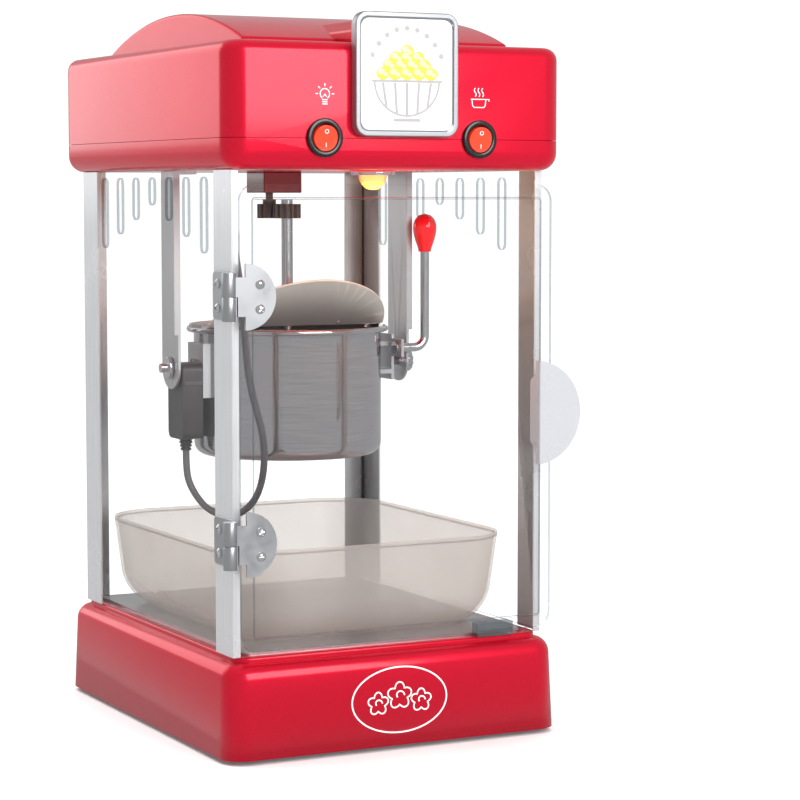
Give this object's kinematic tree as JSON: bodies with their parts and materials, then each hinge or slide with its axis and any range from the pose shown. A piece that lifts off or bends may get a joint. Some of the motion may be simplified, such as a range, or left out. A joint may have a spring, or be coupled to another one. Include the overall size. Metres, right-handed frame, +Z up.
{
  "type": "popcorn maker",
  "caption": "Tabletop popcorn maker: red canopy and base, clear cabin with a hinged door, a kettle that dumps forward, and a crumb tray.",
  "frame": {"origin": "middle of the part's bounding box, at the level of the feet's undersides", "axes": "+X to the right seen from the front, +Y to the back, +Z up, the longest way"},
  "size_m": [0.2408, 0.3, 0.46],
  "materials": {
    "red_paint": "gloss metallic red",
    "alu": "bright satin",
    "steel": "polished",
    "chrome": "polished",
    "clear": "clear acrylic",
    "smoke": "smoky clear plastic",
    "white_plastic": "gloss",
    "black_plastic": "gloss",
    "grey_plastic": "satin",
    "red_switch": "translucent",
    "red_knob": "gloss",
    "rubber": "matte",
    "lead": "satin",
    "bulb": "warm light",
    "dark_metal": "satin",
    "dark_red": "gloss"
  },
  "bodies": {
    "cabinet": {"base_shell": "red_paint", "bottom_cover": "dark_metal", "feet": "rubber", "foot_screws": "chrome", "floor_sheet": "steel", "post_front_left": "alu", "post_front_right": "alu", "post_rear_left": "alu", "post_rear_right": "alu", "panel_left": "clear", "panel_right": "clear", "panel_rear": "clear", "canopy_lower": "red_paint", "canopy_upper": "red_paint", "canopy_vault": "red_paint", "canopy_hood": "red_paint", "sign_frame": "alu", "sign_plate": "white_plastic", "switch_lamp": "black_plastic", "switch_kettle": "black_plastic", "lamp_holder": "chrome", "lamp_bulb": "bulb", "motor": "dark_metal", "gearbox": "dark_red", "lead_gland": "rubber", "door_stop": "clear", "hinge_post_upper": "chrome", "hinge_post_lower": "chrome", "hinge_pins": "chrome", "hinge_screws_post": "chrome", "hanger_left": "alu", "hanger_right": "alu", "kettle_lead": "lead"},
    "door": {"door_panel": "clear", "door_handle": "white_plastic", "hinge_door_upper": "chrome", "hinge_door_lower": "chrome", "hinge_screws_door": "chrome"},
    "kettle": {"kettle_casing": "steel", "kettle_bowl": "steel", "kettle_heater": "dark_metal", "kettle_crossbar": "steel", "bracket_left": "steel", "bracket_right": "steel", "trunnion_left": "chrome", "trunnion_right": "chrome", "knob_left": "chrome", "knob_right": "chrome", "dump_rod": "chrome", "dump_knob": "red_knob", "kettle_plug": "grey_plastic"},
    "front_flap": {"front_flap": "steel"},
    "rear_flap": {"rear_flap": "steel"},
    "stirrer": {"stir_shaft": "steel", "stir_gear": "grey_plastic", "stir_arm": "steel"},
    "motor_pinion": {"motor_pinion": "grey_plastic"},
    "rocker_lamp": {"rocker_lamp": "red_switch"},
    "rocker_kettle": {"rocker_kettle": "red_switch"},
    "tray": {"tray": "smoke"}
  },
  "joints": [
    {"name": "door_hinge", "type": "hinge", "parent": "cabinet", "child": "door", "pos_m": [-0.1162, -0.1355, 0.203], "axis": [0, 0, -1], "range_deg": [0, 110]},
    {"name": "kettle_dump", "type": "hinge", "parent": "cabinet", "child": "kettle", "pos_m": [-0.0036, 0.027, 0.231], "axis": [1, 0, 0], "range_deg": [0, 100], "deforming": ["kettle_lead"]},
    {"name": "front_flap_hinge", "type": "hinge", "parent": "kettle", "child": "front_flap", "pos_m": [-0.0036, 0.015, 0.2602], "axis": [-1, 0, 0], "range_deg": [-35, 45]},
    {"name": "rear_flap_hinge", "type": "hinge", "parent": "kettle", "child": "rear_flap", "pos_m": [-0.0036, 0.039, 0.2602], "axis": [1, 0, 0], "range_deg": [0, 80]},
    {"name": "stirrer_spin", "type": "hinge", "parent": "kettle", "child": "stirrer", "pos_m": [-0.0036, 0.027, 0.329], "axis": [0, 0, 1], "continuous": true},
    {"name": "motor_pinion_spin", "type": "hinge", "parent": "cabinet", "child": "motor_pinion", "pos_m": [-0.01019, 0.04114, 0.329], "axis": [0, 0, 1], "continuous": true},
    {"name": "rocker_lamp_tilt", "type": "hinge", "parent": "cabinet", "child": "rocker_lamp", "pos_m": [-0.0566, -0.1442, 0.379], "axis": [-1, 0, 0], "range_deg": [0, 16]},
    {"name": "rocker_kettle_tilt", "type": "hinge", "parent": "cabinet", "child": "rocker_kettle", "pos_m": [0.0494, -0.1442, 0.379], "axis": [-1, 0, 0], "range_deg": [0, 16]},
    {"name": "tray_lift", "type": "slide", "parent": "cabinet", "child": "tray", "axis": [0, 0, 1], "range_m": [0, 0.02]}
  ],
  "couplings": [
    {"joint": "motor_pinion_spin", "follows": "stirrer_spin", "ratio": -1.1667}
  ]
}
